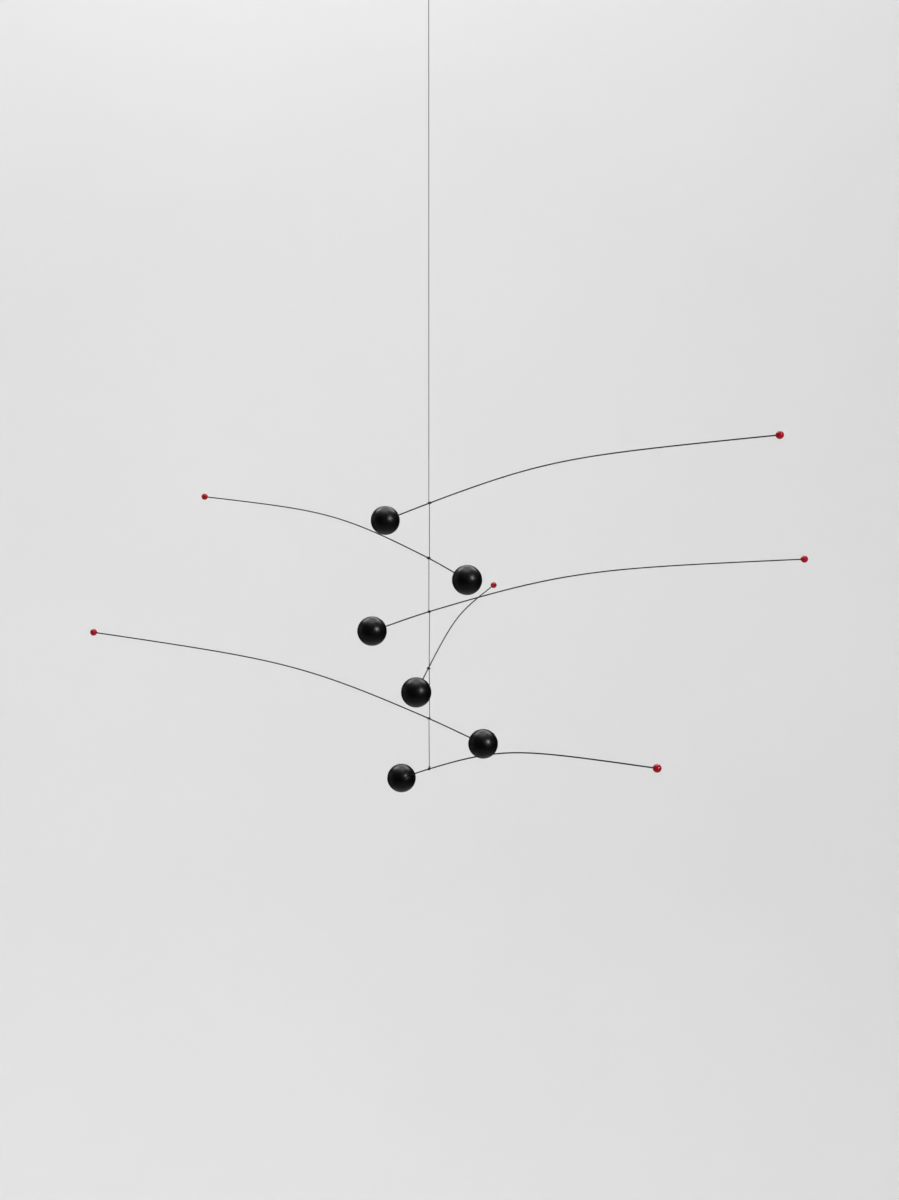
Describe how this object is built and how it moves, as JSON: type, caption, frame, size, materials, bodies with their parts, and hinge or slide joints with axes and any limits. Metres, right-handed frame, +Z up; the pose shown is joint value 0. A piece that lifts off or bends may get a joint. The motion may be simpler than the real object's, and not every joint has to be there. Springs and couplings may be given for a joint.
{
  "type": "hanging mobile sculpture",
  "caption": "Hanging mobile of gently bent wire arms, each with a black ball at its short end and a small red bead at its long end, tied one under another to a single thread.",
  "frame": {"origin": "where a hook carries the thread's hanging loop: the inside of the loop's top", "axes": "+Z up along the thread, towards the hook; +X to the right and +Y away from a viewer who faces the mobile; the arms hang below"},
  "size_m": [0.6334, 0.6, 0.7009],
  "materials": {
    "ball_lacquer": "satin",
    "bead_lacquer": "gloss",
    "spring_wire": "satin",
    "hanging_thread": "matte"
  },
  "bodies": {
    "root": {"ball_1": "ball_lacquer", "wire_1": "spring_wire", "bead_1": "bead_lacquer", "ball_2": "ball_lacquer", "wire_2": "spring_wire", "bead_2": "bead_lacquer", "ball_3": "ball_lacquer", "wire_3": "spring_wire", "bead_3": "bead_lacquer", "ball_4": "ball_lacquer", "wire_4": "spring_wire", "bead_4": "bead_lacquer", "ball_5": "ball_lacquer", "wire_5": "spring_wire", "bead_5": "bead_lacquer", "ball_6": "ball_lacquer", "wire_6": "spring_wire", "bead_6": "bead_lacquer", "thread": "hanging_thread"}
  },
  "joints": []
}
